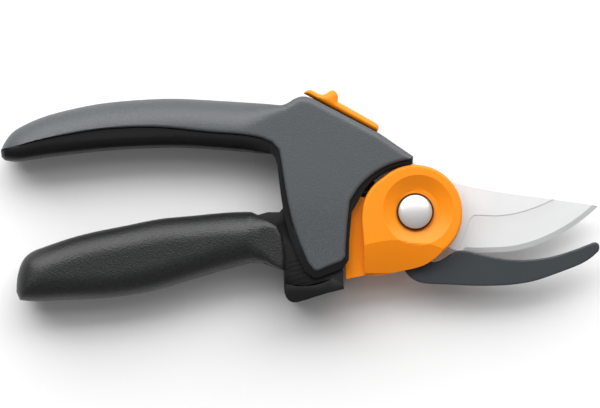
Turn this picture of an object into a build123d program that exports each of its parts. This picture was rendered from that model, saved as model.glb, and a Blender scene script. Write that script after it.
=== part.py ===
"""Geared bypass pruner, in millimetres.

The tool lies flat on its rear side: +X runs from the pivot towards the blade's
tip, +Y from the lower handle towards the upper one, +Z out of the rest plane.
The origin is on the main pivot's axis, in the flat rear face of its nut.
Every layer is named by its height above the mid-plane, where blade and hook meet.
"""
from build123d import *
from math import acos, cos, degrees, pi, radians, sin, tan
import os

os.makedirs("parts", exist_ok=True)

# ---- overall sizes -------------------------------------------------------
upper_handle_length = 102.8   # behind the head's rear edge
lower_handle_length = 86.0    # behind the grip's shoulder
blade_reach = 67.7            # pivot axis to blade tip
hook_reach = 67.9             # pivot axis to hook tip

# ---- gear pair: lower handle drives the hook's housing --------------------
gear_module = 2.3
handle_teeth = 15
housing_teeth = 21
pressure_angle = radians(25)
backlash = 0.25
root_clearance = 0.25         # in modules
handle_pin_angle = 188.4      # from the main pivot to the handle's pin

# ---- layers, as half thicknesses from the mid-plane -----------------------
blade_thickness = 3.1
hook_thickness = 3.5
bypass_gap = 0.1              # between blade and hook
side_gap = 0.3                # between neighbouring moving layers
gear_half = 4.8
gear_side_gap = 0.2
flange_thickness = 1.4        # cheeks that close off the housing's teeth
trough_wall = 2.1             # lower handle's side walls
cheek_thickness = 1.8         # upper frame's side plates
cover_thickness = 1.7
housing_half = 11.2
grip_half = 11.6
nut_proud = 0.2               # nut beyond the rear cover: the tool rests on it

flange_out = gear_half + flange_thickness
wall_in = flange_out + side_gap
wall_out = wall_in + trough_wall
cheek_in = wall_out + side_gap
cheek_out = cheek_in + cheek_thickness
cover_out = cheek_out + cover_thickness
mid_height = cover_out + nut_proud

# ---- pins, bushes, screws -------------------------------------------------
bolt_diameter = 8.0
bush_wall = 1.0
running_gap = 0.05            # radial, pin to bush and bush to plates
bolt_head_diameter = 12.3
washer_diameter = 13.6
washer_thickness = 0.8
bolt_head_crown = 2.2
nut_across_flats = 13.0
dish_depth = 2.6
dish_diameter = 25.6
handle_pin_diameter = 7.0
handle_bush_wall = 1.0
rivet_diameter = 4.0
screw_diameter = 3.0
screw_head_diameter = 5.6
screw_head_depth = 1.0
screw_end_wall = 1.0           # front cover left over each screw's end
dowel_diameter = 3.0
hub_radius = 15.0             # round eyes of blade and hook

# ---- lower handle's lock finger and the slider -----------------------------
finger_angle = 83.5
finger_width = 2.6
finger_radius = 24.8
finger_slant = 1.1             # its end slopes so that the lock's foot passes over it
finger_half = 3.5
lock_travel = 8.0
slider_half = 7.5
tongue_half = 2.0
slot_gap = 0.2

# ---- return spring -----------------------------------------------------------
spring_wire = 1.4
spring_radius = 7.4            # to the wire's middle
spring_turns = 3
spring_pitch = 1.6
spring_foot_length = 2.0
spring_boss_wall = 1.0
spring_clearance = 0.25

# ---- worked out -------------------------------------------------------------
handle_pitch_radius = gear_module * handle_teeth / 2
housing_pitch_radius = gear_module * housing_teeth / 2
centre_distance = handle_pitch_radius + housing_pitch_radius
bush_diameter = bolt_diameter + 2 * bush_wall
handle_bush_diameter = handle_pin_diameter + 2 * handle_bush_wall


def polar(radius, angle, centre=(0, 0)):
    """Point at a radius and an angle in degrees from a centre."""
    return (centre[0] + radius * cos(radians(angle)), centre[1] + radius * sin(radians(angle)))


pin = polar(centre_distance, handle_pin_angle)
housing_tip_radius = housing_pitch_radius + gear_module
handle_tip_radius = handle_pitch_radius + gear_module
handle_root_radius = handle_pitch_radius - gear_module * (1 + root_clearance)
housing_root_radius = housing_pitch_radius - gear_module * (1 + root_clearance)
spring_pocket_radius = spring_radius + spring_wire / 2 + spring_clearance
spring_window_depth = spring_wire + 2 * spring_clearance
spring_pocket_depth = spring_turns * spring_pitch + spring_window_depth
core_radius = centre_distance - housing_tip_radius - 1.2   # lower handle's hub beside the flanges
spring_foot = polar(spring_radius, 250.0, pin)


def layer(height):
    """Drawing plane at a height above the mid-plane."""
    return Plane.XY.offset(mid_height + height)


def shape(*stretches):
    """Closed face from stretches of points: ('smooth', ...) is a spline, ('straight', ...) a polyline."""
    with BuildLine(mode=Mode.PRIVATE) as outline:
        for kind, points in stretches:
            if kind == "smooth":
                Spline(*points)
            elif kind == "arc":
                ThreePointArc(*points)
            else:
                Polyline(*points)
    make_face(outline.edges())


def disc(centre, radius, mode=Mode.ADD):
    """Round face about a centre."""
    with Locations(centre):
        Circle(radius, mode=mode)


def wedge(centre, radius, start, end):
    """Sector of a disc as a face, from one angle to another."""
    middle = (start + end) / 2
    shape(
        ("straight", [polar(radius, end, centre), centre, polar(radius, start, centre)]),
        ("arc", [polar(radius, start, centre), polar(radius, middle, centre), polar(radius, end, centre)]),
    )


def tooth_half_angle(radius, pitch_radius):
    """Half the angle that an involute tooth spans at a radius."""
    base_radius = pitch_radius * cos(pressure_angle)
    slope = acos(base_radius / radius) if radius > base_radius else 0
    thickness = pi * gear_module / 2 - backlash / 2
    return degrees(
        thickness / 2 / pitch_radius + tan(pressure_angle) - pressure_angle - (tan(slope) - slope)
    )


def tooth(centre, pitch_radius, angle):
    """Face of one gear tooth, from inside its root circle to its tip."""
    base_radius = pitch_radius * cos(pressure_angle)
    root = pitch_radius - gear_module * (1 + root_clearance)
    tip = pitch_radius + gear_module
    start = max(base_radius, root)
    radii = [start + (tip - start) * step / 4 for step in range(5)]
    left = [polar(r, angle + tooth_half_angle(r, pitch_radius), centre) for r in radii]
    right = [polar(r, angle - tooth_half_angle(r, pitch_radius), centre) for r in radii]
    foot_half = tooth_half_angle(start, pitch_radius)
    foot = [polar(root - 1, angle - foot_half, centre), polar(root - 1, angle + foot_half, centre)]
    shape(
        ("straight", [right[0], foot[0], foot[1], left[0]]),
        ("smooth", left),
        ("straight", [left[-1], right[-1]]),
        ("smooth", right[::-1]),
    )


def save(piece, name):
    """Label a finished piece and write it as its own file."""
    piece.part.label = name
    export_step(piece.part, f"parts/{name}.step")
    print(f"{name}: {len(piece.part.solids())} solid(s), {piece.part.volume:.0f} mm3")


# ---- outlines shared by several pieces ---------------------------------------
head_rear = -49.0
grip_shoulder = -60.2
blade_root = 17.0


def on_upper(share, y):
    """Point of the upper handle, at a share of its length behind the head."""
    return (head_rear - share * upper_handle_length, y)


def on_lower(share, y):
    """Point of the lower handle, at a share of its length behind the grip's shoulder."""
    return (grip_shoulder - share * lower_handle_length, y)


def on_blade(share, y):
    """Point of the blade, at a share of its reach beyond the root."""
    return (blade_root + share * (blade_reach - blade_root), y)


def on_hook(share, y):
    """Point of the hook, at a share of its reach beyond the root."""
    return (blade_root + share * (hook_reach - blade_root), y)


lock_start = (-36.6, 40.9)     # on the head's top edge
lock_angle = -27.7             # slope of that edge


def on_lock(along, out):
    """Point by its distance along the head's sloping top edge, and out from it."""
    base = polar(along, lock_angle, lock_start)
    return polar(out, lock_angle + 90, base)


head_top = [(-49.0, 38.9), (-46.6, 39.7), (-43.8, 41.4), (-41.0, 42.1), (-38.5, 41.7), lock_start]
head_nose = [lock_start, on_lock(26.6, 0), (-0.8, 20.2)]
handle_top = [
    on_upper(0.0, 38.9), on_upper(0.10, 39.9), on_upper(0.25, 40.9), on_upper(0.38, 41.5),
    on_upper(0.54, 40.8), on_upper(0.65, 39.6), on_upper(0.75, 37.6), on_upper(0.85, 34.8),
    on_upper(0.92, 31.7), on_upper(0.96, 29.1), on_upper(0.985, 25.9), on_upper(0.998, 23.3),
]
handle_bottom = [
    on_upper(0.985, 18.8), on_upper(0.96, 18.4), on_upper(0.9, 19.1), on_upper(0.8, 20.6),
    on_upper(0.65, 22.3), on_upper(0.5, 23.3), on_upper(0.35, 23.5), on_upper(0.2, 22.6),
    on_upper(0.033, 21.3),
]
cover_line = [                 # where the grey cover meets the black frame
    on_upper(0.996, 22.8), on_upper(0.93, 24.4), on_upper(0.85, 26.4), on_upper(0.75, 28.4),
    on_upper(0.65, 30.0), on_upper(0.54, 30.8), on_upper(0.4, 30.6), on_upper(0.25, 29.0),
    on_upper(0.12, 27.9), on_upper(0.07, 26.9),
]
recess = [(-1.0, 17.4), (-12.3, 14.1), (-19.9, 5.6)]           # rim round the housing's disc
rim_right = [(-19.9, 5.6), (-23.2, -0.3), (-24.1, -10.2), (-24.3, -17.7)]
rim_foot = [
    (-24.3, -17.7), (-26.3, -20.7), (-34.9, -24.0), (-37.0, -24.2), (-40.4, -21.8),
    (-43.2, -15.9), (-46.0, -9.2), (-48.2, 0.0), (-49.4, 8.4), (-50.4, 17.0), (-51.2, 19.8),
    on_upper(0.033, 21.3),
]
housing_bottom = [
    (-25.3, -24.7), (-17.9, -23.2), (-10.3, -22.9), (-3.8, -21.5), (1.8, -20.1),
    (5.2, -18.5), (10.2, -14.6), (14.3, -10.2), (16.5, -5.3), (17.1, 0.0),
]
sector_end_angle = 164.5
last_tooth_angle = handle_pin_angle + 1.5 * 360 / housing_teeth
web_end_angle = 292.0
flange_edge = [(-25.6, -12.0), (-25.6, -17.0)]


# ---- upper frame ---------------------------------------------------------------
blade_rivet_places = [(-8.0, 20.4), (-16.2, 20.2)]
screw_places = [on_upper(0.86, 28.4), on_upper(0.17, 33.0), (-23.6, 25.0)]
core_half = 7.0                # frame's core inside the handle's shells
core_cover = 3.0               # shell above that core
spine_depth = 4.5
post_place = polar(20.0, 88.0, pin)
post_radius = 2.0

with BuildPart() as upper_frame:
    # two side plates
    for low in (cheek_in, -cheek_out):
        with BuildSketch(layer(low)):
            shape(
                ("smooth", head_top),
                ("straight", head_nose),
                ("straight", [head_nose[-1], recess[0]]),
                ("arc", recess),
                ("straight", rim_right + rim_foot[1:] + [head_top[0]]),
            )
        extrude(amount=cheek_thickness)
    # spine that joins the plates along the top, and the block that clamps the blade
    with BuildSketch(layer(-cheek_in)):
        shape(
            ("smooth", head_top),
            ("straight", head_nose + [recess[0]]),
            ("arc", [recess[0], polar(17.7, 120.0), polar(18.9, 144.0)]),
            ("straight", [
                polar(18.9, 144.0), polar(27.0, 144.0), (-26.5, 27.0), (-29.5, 36.9 - spine_depth),
                (-36.6, 40.9 - spine_depth), (-41.0, 42.1 - spine_depth), (-47.0, 34.5), (-49.0, 34.0),
                head_top[0],
            ]),
        )
    extrude(amount=2 * cheek_in)
    # handle: a full-width band below, and a core inside the shells
    with BuildSketch(layer(-cheek_out)):
        shape(
            ("smooth", handle_bottom),
            ("straight", [
                handle_bottom[-1], on_upper(0.0, 24.0), on_upper(0.0, 27.2), cover_line[-1],
            ]),
            ("smooth", cover_line[::-1]),
            ("straight", [cover_line[0], on_upper(1.0, 22.0), on_upper(0.997, 20.0), handle_bottom[0]]),
        )
    extrude(amount=2 * cheek_out)
    with BuildSketch(layer(-core_half)):
        shape(
            ("smooth", [(x, y - core_cover) for x, y in handle_top[:-3]]),
            ("straight", [
                (handle_top[-4][0], handle_top[-4][1] - core_cover), on_upper(0.92, 23.4),
                on_upper(0.0, 24.0), (handle_top[0][0], handle_top[0][1] - core_cover),
            ]),
        )
    extrude(amount=2 * core_half)
    # post that the return spring leans on
    with BuildSketch(layer(-cheek_in)):
        disc(post_place, post_radius)
    extrude(amount=cheek_in - wall_in + 1.4)
    # holes: handle pin, rivets, screws
    with BuildSketch(layer(-cheek_out)):
        disc(pin, handle_pin_diameter / 2)
        for place in blade_rivet_places:
            disc(place, rivet_diameter / 2)
        for place in screw_places:
            disc(place, screw_diameter / 2)
    extrude(amount=2 * cheek_out, mode=Mode.SUBTRACT)
    # slot for the lock's tongue, and the deeper one for its foot
    with BuildSketch(layer(-tongue_half - slot_gap)):
        shape(("straight", [
            on_lock(-0.3, 2), on_lock(-0.3, -3.4), on_lock(29.2, -3.4), on_lock(29.2, 6), on_lock(-0.3, 2),
        ]))
        shape(("straight", [
            on_lock(-0.3, 2), on_lock(-0.3, -9), on_lock(12.7, -9), on_lock(12.7, 2), on_lock(-0.3, 2),
        ]))
    extrude(amount=2 * (tongue_half + slot_gap), mode=Mode.SUBTRACT)


# ---- blade ----------------------------------------------------------------------
blade_top_z = -bypass_gap
tang = [(4.2, 14.4), (1.2, 16.8), (-3.0, 19.6), (-8.0, 22.9), (-20.4, 24.5), (-20.2, 17.5), (-12.5, 8.3)]
blade_back = [(12.0, 11.7), on_blade(0.15, 8.4), on_blade(0.40, 6.4), on_blade(0.68, 4.5), on_blade(1.0, 2.1)]
blade_edge = [
    on_blade(1.0, 1.9), on_blade(0.87, -3.7), on_blade(0.74, -7.9), on_blade(0.52, -12.8),
    on_blade(0.35, -14.7), on_blade(0.18, -15.1), (18.5, -14.9), (11.5, -12.6),
]
edge_width = 1.9               # ground cutting bevel

with BuildPart() as cutting_blade:
    with BuildSketch(layer(blade_top_z - blade_thickness)):
        disc((0, 0), hub_radius)
        shape(("straight", tang + [tang[0]]))
        shape(
            ("smooth", blade_back),
            ("straight", [blade_back[-1], blade_edge[0]]),
            ("smooth", blade_edge),
            ("straight", [blade_edge[-1], blade_back[0]]),
        )
        disc((0, 0), bush_diameter / 2 + running_gap, mode=Mode.SUBTRACT)
        for place in blade_rivet_places:
            disc(place, rivet_diameter / 2, mode=Mode.SUBTRACT)
    extrude(amount=blade_thickness)

with BuildPart() as clamp_slot:      # the tang's seat in the frame's block
    with BuildSketch(layer(blade_top_z - blade_thickness)):
        shape(("straight", tang + [tang[0]]))
        disc((0, 0), hub_radius + 0.3)
    extrude(amount=blade_thickness)

with BuildPart(mode=Mode.PRIVATE) as frame_with_seat:
    add(upper_frame.part)
    add(clamp_slot.part, mode=Mode.SUBTRACT)

save(frame_with_seat, "upper_frame")
save(cutting_blade, "cutting_blade")


# ---- grey covers -----------------------------------------------------------------
cover_head = [
    (-21.2, 8.2), (-23.9, 3.9), (-24.8, -3.6), (-25.5, -13.5), (-25.5, -16.4), (-26.9, -18.2),
    (-30.3, -19.5), (-35.9, -21.9), (-37.3, -21.2), (-39.3, -18.5), (-42.2, -11.7), (-45.0, -3.5),
    (-46.7, 4.3), (-47.7, 10.2), (-48.9, 18.2), (-49.8, 22.5), (-52.4, 25.3), cover_line[-1],
]


def cover(side):
    """One grey cover: a plate on the head and a half shell round the handle's core."""
    with BuildPart() as shell:
        with BuildSketch(layer(cheek_out if side > 0 else -cover_out)):
            shape(
                ("smooth", head_top),
                ("straight", head_nose + [(-1.3, 19.1)]),
                ("arc", [(-1.3, 19.1), (-11.9, 16.0), (-21.2, 8.2)]),
                ("straight", cover_head + [on_upper(0.07, 39.6), head_top[0]]),
            )
        extrude(amount=cover_thickness)
        with BuildSketch(layer(0 if side > 0 else -cover_out)):
            shape(
                ("smooth", handle_top),
                ("straight", [handle_top[-1], cover_line[0]]),
                ("smooth", cover_line),
                ("straight", [cover_line[-1], on_upper(0.0, 27.2), handle_top[0]]),
            )
        extrude(amount=cover_out)
        # the frame's core and band take their room out of the shell
        add(upper_frame.part, mode=Mode.SUBTRACT)
        # screws run from the rear cover, through the frame, into the front cover
        with BuildSketch(layer(-cover_out)):
            for place in screw_places:
                disc(place, screw_diameter / 2)
        extrude(amount=2 * cover_out - screw_end_wall, mode=Mode.SUBTRACT)
        with BuildSketch(layer(-cover_out)):
            for place in screw_places:
                disc(place, screw_head_diameter / 2)
        extrude(amount=screw_head_depth, mode=Mode.SUBTRACT)
    return shell


upper_cover_front = cover(+1)
upper_cover_rear = cover(-1)
save(upper_cover_front, "upper_cover_front")
save(upper_cover_rear, "upper_cover_rear")

with BuildPart() as cover_screws:
    with BuildSketch(layer(-cover_out)):
        for place in screw_places:
            disc(place, screw_head_diameter / 2)
    extrude(amount=screw_head_depth)
    with BuildSketch(layer(-cover_out)):
        for place in screw_places:
            disc(place, screw_diameter / 2)
    extrude(amount=2 * cover_out - screw_end_wall)
save(cover_screws, "cover_screws")

with BuildPart() as blade_rivets:
    with BuildSketch(layer(-cheek_out)):
        for place in blade_rivet_places:
            disc(place, rivet_diameter / 2)
    extrude(amount=2 * cheek_out)
save(blade_rivets, "blade_rivets")


# ---- main pivot: bolt, washers, nut, bush --------------------------------------------
dish_floor = housing_half - dish_depth
bolt_head_low = dish_floor + washer_thickness + side_gap
nut_high = -bolt_head_low

with BuildPart() as pivot_bolt:
    with BuildSketch(layer(-mid_height + 1.0)):
        disc((0, 0), bolt_diameter / 2)
    extrude(amount=mid_height - 1.0 + bolt_head_low)
    with BuildSketch(layer(bolt_head_low)):
        Circle(bolt_head_diameter / 2)
    extrude(amount=bolt_head_crown)
    fillet(pivot_bolt.edges().group_by(Axis.Z)[-1], bolt_head_crown * 0.8)
save(pivot_bolt, "pivot_bolt")

with BuildPart() as pivot_nut:
    with BuildSketch(Plane.XY):
        RegularPolygon(nut_across_flats / 2, 6, major_radius=False)
        Circle(bolt_diameter / 2, mode=Mode.SUBTRACT)
    extrude(amount=mid_height + nut_high)
save(pivot_nut, "pivot_nut")

with BuildPart() as pivot_washers:
    for low in (bolt_head_low - washer_thickness, nut_high):
        with BuildSketch(layer(low)):
            Circle(washer_diameter / 2)
            Circle(bolt_diameter / 2, mode=Mode.SUBTRACT)
        extrude(amount=washer_thickness)
save(pivot_washers, "pivot_washers")

with BuildPart() as pivot_bush:
    with BuildSketch(layer(nut_high + washer_thickness)):
        Circle(bush_diameter / 2)
        Circle(bolt_diameter / 2, mode=Mode.SUBTRACT)
    extrude(amount=bolt_head_low - nut_high - 2 * washer_thickness)
save(pivot_bush, "pivot_bush")


# ---- hook (counter blade) --------------------------------------------------------------
hook_top = [
    (5.1, -18.2), (9.7, -17.9), (14.0, -15.2), (16.5, -14.3), on_hook(0.08, -14.8),
    on_hook(0.26, -16.9), on_hook(0.48, -17.7), on_hook(0.66, -16.5), on_hook(0.85, -13.5),
    on_hook(0.96, -11.3),
]
hook_bottom = [
    on_hook(0.985, -14.9), on_hook(0.90, -18.3), on_hook(0.74, -21.8), on_hook(0.52, -25.6),
    on_hook(0.30, -27.1), on_hook(0.07, -27.2), (9.4, -26.7), (0.8, -25.6), (-3.8, -21.5),
]
hook_tail = [(-3.8, -21.5), (-15.5, -20.0), (-19.0, -9.0), (-13.0, 4.5), (5.1, 6.0)]
dowel_places = [polar(17.2, 200.0), polar(17.6, 232.0)]

with BuildPart() as counter_blade:
    with BuildSketch(layer(0)):
        Circle(hub_radius)
        shape(
            ("smooth", hook_top),
            ("smooth", [hook_top[-1], on_hook(0.99, -11.7), on_hook(1.0, -13.1), hook_bottom[0]]),
            ("smooth", hook_bottom),
            ("straight", hook_tail + [hook_top[0]]),
        )
        disc((0, 0), bush_diameter / 2 + running_gap, mode=Mode.SUBTRACT)
        for place in dowel_places:
            disc(place, dowel_diameter / 2, mode=Mode.SUBTRACT)
    extrude(amount=hook_thickness)
save(counter_blade, "counter_blade")


# ---- gear housing: two halves with the hook between them ----------------------------------
disc_radius = 17.1
raised_left = [
    polar(disc_radius, 112.0), (-11.3, 12.8), (-15.3, 9.6), (-18.3, 4.9), (-19.6, -2.3),
    (-19.1, -10.0), (-18.7, -16.1), (-18.4, -23.0),
]
underside_start = (-11.0, housing_half)      # bevel from here, as (y, height)
underside_end = (-22.6, flange_out + 0.3)


def raised_outline():
    """The housing's round face with the flank that runs down to its lower edge."""
    Circle(disc_radius)
    shape(
        ("smooth", raised_left),
        ("straight", [raised_left[-1], housing_bottom[1]]),
        ("smooth", housing_bottom[1:]),
        ("straight", [housing_bottom[-1], (0, 0), raised_left[0]]),
    )


def full_outline():
    """The housing's outline at its gear layer, without teeth."""
    raised_outline()
    wedge((0, 0), housing_root_radius, sector_end_angle, last_tooth_angle)
    shape(
        ("straight", [
            (0, 0), polar(housing_root_radius, last_tooth_angle - 4), polar(housing_tip_radius, last_tooth_angle),
            housing_bottom[0], housing_bottom[1], (0, 0),
        ]),
    )


def teeth():
    """Teeth on the housing's sector."""
    for step in (-0.5, 0.5, 1.5):
        tooth((0, 0), housing_pitch_radius, handle_pin_angle + step * 360 / housing_teeth)


def web_only():
    """Cut away all but the stretch where the two halves meet."""
    Circle(hub_radius + side_gap, mode=Mode.SUBTRACT)
    with BuildSketch(mode=Mode.PRIVATE) as open_side:
        wedge((0, 0), 60, web_end_angle - 360, sector_end_angle)
    add(open_side.sketch, mode=Mode.SUBTRACT)


def housing(side, inner, web_depth):
    """Half of the gear housing: side is +1 in front, -1 behind; inner is where it meets its plate."""
    def slab(low, high):
        return (low, high - low) if side > 0 else (-high, high - low)

    with BuildPart() as half:
        # raised face with its bevelled underside and its dish
        low, thick = slab(flange_out, housing_half)
        with BuildSketch(layer(low)):
            raised_outline()
        extrude(amount=thick)
        with BuildSketch(Plane.YZ.offset(-40)):
            corners = [
                underside_start, underside_end, (underside_end[0], flange_out), (-40, flange_out),
                (-40, housing_half + 1), (underside_start[0] + 1, housing_half + 1), underside_start,
            ]
            shape(("straight", [(y, mid_height + side * height) for y, height in corners]))
        extrude(amount=80, mode=Mode.SUBTRACT)
        low, thick = slab(housing_half - dish_depth, housing_half)
        with BuildSketch(layer(low)):
            Circle(dish_diameter / 2)
        extrude(amount=thick, mode=Mode.SUBTRACT)
        # flange that closes off the teeth
        low, thick = slab(gear_half, flange_out)
        with BuildSketch(layer(low)):
            full_outline()
            wedge((0, 0), housing_tip_radius, sector_end_angle, last_tooth_angle)
            shape(("straight", [
                (0, 0), polar(housing_tip_radius, 198.0), *flange_edge, housing_bottom[0], (0, 0),
            ]))
        extrude(amount=thick)
        # toothed layer outside the hook or the blade
        low, thick = slab(inner, gear_half)
        with BuildSketch(layer(low)):
            full_outline()
            teeth()
        extrude(amount=thick)
        # web down to the other half
        low, thick = slab(inner - web_depth, inner)
        with BuildSketch(layer(low)):
            full_outline()
            teeth()
            web_only()
        extrude(amount=thick)
        with BuildSketch(layer(-housing_half)):
            disc((0, 0), bush_diameter / 2 + running_gap)
        extrude(amount=2 * housing_half, mode=Mode.SUBTRACT)
        low, thick = slab(0, dowel_half)
        with BuildSketch(layer(low)):
            for place in dowel_places:
                disc(place, dowel_diameter / 2)
        extrude(amount=thick, mode=Mode.SUBTRACT)
        if side > 0:
            add(counter_blade.part, mode=Mode.SUBTRACT)
    return half


dowel_half = flange_out
gear_housing_front = housing(+1, hook_thickness, hook_thickness)
gear_housing_rear = housing(-1, bypass_gap + blade_thickness + side_gap, bypass_gap + blade_thickness + side_gap)
save(gear_housing_front, "gear_housing_front")
save(gear_housing_rear, "gear_housing_rear")

with BuildPart() as housing_dowels:
    with BuildSketch(layer(-dowel_half)):
        for place in dowel_places:
            disc(place, dowel_diameter / 2)
    extrude(amount=2 * dowel_half)
save(housing_dowels, "housing_dowels")


# ---- lower handle ------------------------------------------------------------------------
trough_radius = 21.3           # shoe's inner wall
shoe_centre = (-41.0, -6.0)
grip_wall = 2.4
lower_top = [
    on_lower(0.0, -0.1), on_lower(0.13, -0.5), on_lower(0.26, -1.6), on_lower(0.39, -2.7),
    on_lower(0.52, -4.9), on_lower(0.65, -7.1), on_lower(0.81, -10.8), on_lower(0.88, -12.9),
    on_lower(0.93, -14.6), on_lower(0.965, -17.0), on_lower(0.982, -19.6), on_lower(0.997, -24.7),
    on_lower(1.0, -29.5),
]
lower_bottom = [
    on_lower(0.985, -32.5), on_lower(0.93, -32.9), on_lower(0.81, -32.5), on_lower(0.65, -31.9),
    on_lower(0.52, -30.7), on_lower(0.39, -28.5), on_lower(0.26, -25.2), on_lower(0.13, -21.9),
    on_lower(0.0, -18.9),
]
shoulder = [                    # the grip's front edge, clear of the upper frame's rim
    (-54.0, -2.7), (-50.4, -5.2), (-48.7, -8.5), (-48.0, -13.0), (-47.7, -17.0), (-48.0, -21.7),
]
shoe = [
    (-48.0, -21.7), (-48.0, -27.0), (-47.8, -29.3), (-47.2, -31.2), (-46.1, -32.5), (-44.6, -33.1),
    (-43.0, -33.0), (-40.0, -32.2), (-36.7, -31.1),
    (-31.8, -29.6), (-26.0, -28.2), (-26.2, -26.4), (-30.3, -24.3),
]
shoe_pocket_start = polar(trough_radius, -108, shoe_centre)
shoe_pocket_end = polar(trough_radius, -61.5, shoe_centre)
trough_left = -37.6
wall_right = [(-31.8, -14.0), (-29.6, -17.4), (-26.5, -19.6), (-26.1, -27.9), (-31.5, -29.2)]
handle_hub_radius = 10.4
tooth_angles = [handle_pin_angle - 180 + step * 360 / handle_teeth for step in (-1, 0, 1)]


def lower_core_outline():
    """The lower handle's hard core, one grip wall inside its outline."""
    top = [(x, y - grip_wall) for x, y in lower_top[:-4]]
    bottom = [(x, y + grip_wall) for x, y in lower_bottom[2:]]
    shape(("smooth", top), ("straight", [top[-1], bottom[0]]), ("smooth", bottom), ("straight", [bottom[-1], top[0]]))


def lower_outline():
    """The lower handle's whole outline behind its shoulder."""
    shape(
        ("smooth", lower_top),
        ("straight", [lower_top[-1], lower_bottom[0]]),
        ("smooth", lower_bottom),
        ("straight", [lower_bottom[-1], (-55.0, -18.8)] + shoulder[::-1] + [lower_top[0]]),
    )


with BuildPart() as lower_handle_core:
    # side walls and neck
    with BuildSketch(layer(-wall_out)):
        lower_core_outline()
        shape(("straight", [
            (-62.0, -2.5), (-54.0, -0.2), (-48.9, -0.2), polar(handle_hub_radius, 130, pin), pin,
            polar(handle_hub_radius, 25, pin), *wall_right, shoe_pocket_end,
            polar(trough_radius, -88, shoe_centre), shoe_pocket_start, shoulder[-1], (-55.0, -19.0), (-62.0, -17.0),
            (-62.0, -2.5),
        ]))
        disc(pin, handle_hub_radius)
        disc(pin, handle_bush_diameter / 2, mode=Mode.SUBTRACT)
    extrude(amount=2 * wall_out)
    # trough between the walls, where the housing's sector nests
    with BuildSketch(layer(-wall_in)):
        shape(("straight", [
            (trough_left, 20.0), (trough_left, -30.0), (-10.0, -30.0), (-10.0, 20.0), (trough_left, 20.0),
        ]))
        disc(pin, core_radius, mode=Mode.SUBTRACT)
    extrude(amount=2 * wall_in, mode=Mode.SUBTRACT)
    # shoe under the pocket, at the grip's width
    with BuildSketch(layer(-grip_half)):
        shape(
            ("straight", shoe + [shoe_pocket_end]),
            ("arc", [shoe_pocket_end, polar(trough_radius, -88, shoe_centre), shoe_pocket_start]),
            ("straight", [shoe_pocket_start, (-47.6, -23.0), shoe[0]]),
        )
    extrude(amount=2 * grip_half)
    # gear sector
    with BuildSketch(layer(-gear_half + gear_side_gap)):
        wedge(pin, handle_root_radius, tooth_angles[0] - 12, tooth_angles[-1] + 12)
        for angle in tooth_angles:
            tooth(pin, handle_pitch_radius, angle)
        disc(pin, handle_bush_diameter / 2, mode=Mode.SUBTRACT)
    extrude(amount=2 * (gear_half - gear_side_gap))
    # finger that the lock's foot holds
    with BuildSketch(layer(-finger_half)):
        shape(("straight", [
            polar(8, finger_angle - degrees(finger_width / 2 / 8), pin),
            polar(
                finger_radius - finger_slant, finger_angle - degrees(finger_width / 2 / finger_radius), pin),
            polar(finger_radius, finger_angle + degrees(finger_width / 2 / finger_radius), pin),
            polar(8, finger_angle + degrees(finger_width / 2 / 8), pin),
            polar(8, finger_angle - degrees(finger_width / 2 / 8), pin),
        ]))
    extrude(amount=2 * finger_half)
    # spring pocket behind, with a window for the spring's upper leg
    with BuildSketch(layer(-wall_out)):
        disc(pin, spring_pocket_radius)
        disc(pin, handle_bush_diameter / 2 + spring_boss_wall, mode=Mode.SUBTRACT)
    extrude(amount=spring_pocket_depth, mode=Mode.SUBTRACT)
    with BuildSketch(layer(-wall_out)):
        wedge(pin, handle_hub_radius + 3, 60, 128)
        disc(pin, handle_bush_diameter / 2 + spring_boss_wall, mode=Mode.SUBTRACT)
    extrude(amount=spring_window_depth, mode=Mode.SUBTRACT)
    with BuildSketch(layer(-wall_out)):
        disc(spring_foot, spring_wire / 2)
    extrude(amount=spring_pocket_depth + spring_foot_length, mode=Mode.SUBTRACT)
save(lower_handle_core, "lower_handle_core")

with BuildPart() as lower_grip:
    with BuildSketch(layer(-grip_half)):
        lower_outline()
    extrude(amount=2 * grip_half)
    add(lower_handle_core.part, mode=Mode.SUBTRACT)
save(lower_grip, "lower_grip")

with BuildPart() as handle_bush:
    with BuildSketch(layer(-wall_out)):
        disc(pin, handle_bush_diameter / 2)
        disc(pin, handle_pin_diameter / 2 + running_gap, mode=Mode.SUBTRACT)
    extrude(amount=2 * wall_out)
save(handle_bush, "handle_bush")

with BuildPart() as handle_pin:
    with BuildSketch(layer(-cheek_out)):
        disc(pin, handle_pin_diameter / 2)
    extrude(amount=2 * cheek_out)
save(handle_pin, "handle_pin")


# ---- lock slider ---------------------------------------------------------------------------
with BuildPart() as lock_slider:
    with BuildSketch(layer(-slider_half)):
        shape(
            ("straight", [on_lock(25.5, slot_gap), on_lock(-4.9, slot_gap + 0.3)]),
            ("smooth", [on_lock(-4.9, slot_gap + 0.3), (-38.2, 44.6), (-33.8, 42.9), (-30.4, 44.5), (-28.1, 42.4)]),
            ("straight", [(-28.1, 42.4), (-28.2, 40.3), (-15.0, 32.9)]),
            ("smooth", [(-15.0, 32.9), (-13.3, 31.2), on_lock(25.5, slot_gap)]),
        )
    extrude(amount=2 * slider_half)
save(lock_slider, "lock_slider")

with BuildPart() as lock_plate:
    with BuildSketch(layer(-tongue_half)):
        shape(("straight", [
            on_lock(0.2, slot_gap), on_lock(0.2, -6), (-43.4, 28.0), (-43.4, 21.1), (-40.6, 19.65),
            (-38.8, 27.5), on_lock(4.2, -3.1), on_lock(20.5, -3.1), on_lock(20.5, slot_gap),
            on_lock(0.2, slot_gap),
        ]))
    extrude(amount=2 * tongue_half)
save(lock_plate, "lock_plate")


# ---- return spring: a coil round the handle's pin, one leg on the frame's post -----------------
spring_low = -wall_out + spring_clearance + spring_wire / 2
leg_angle = 100.0

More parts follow.
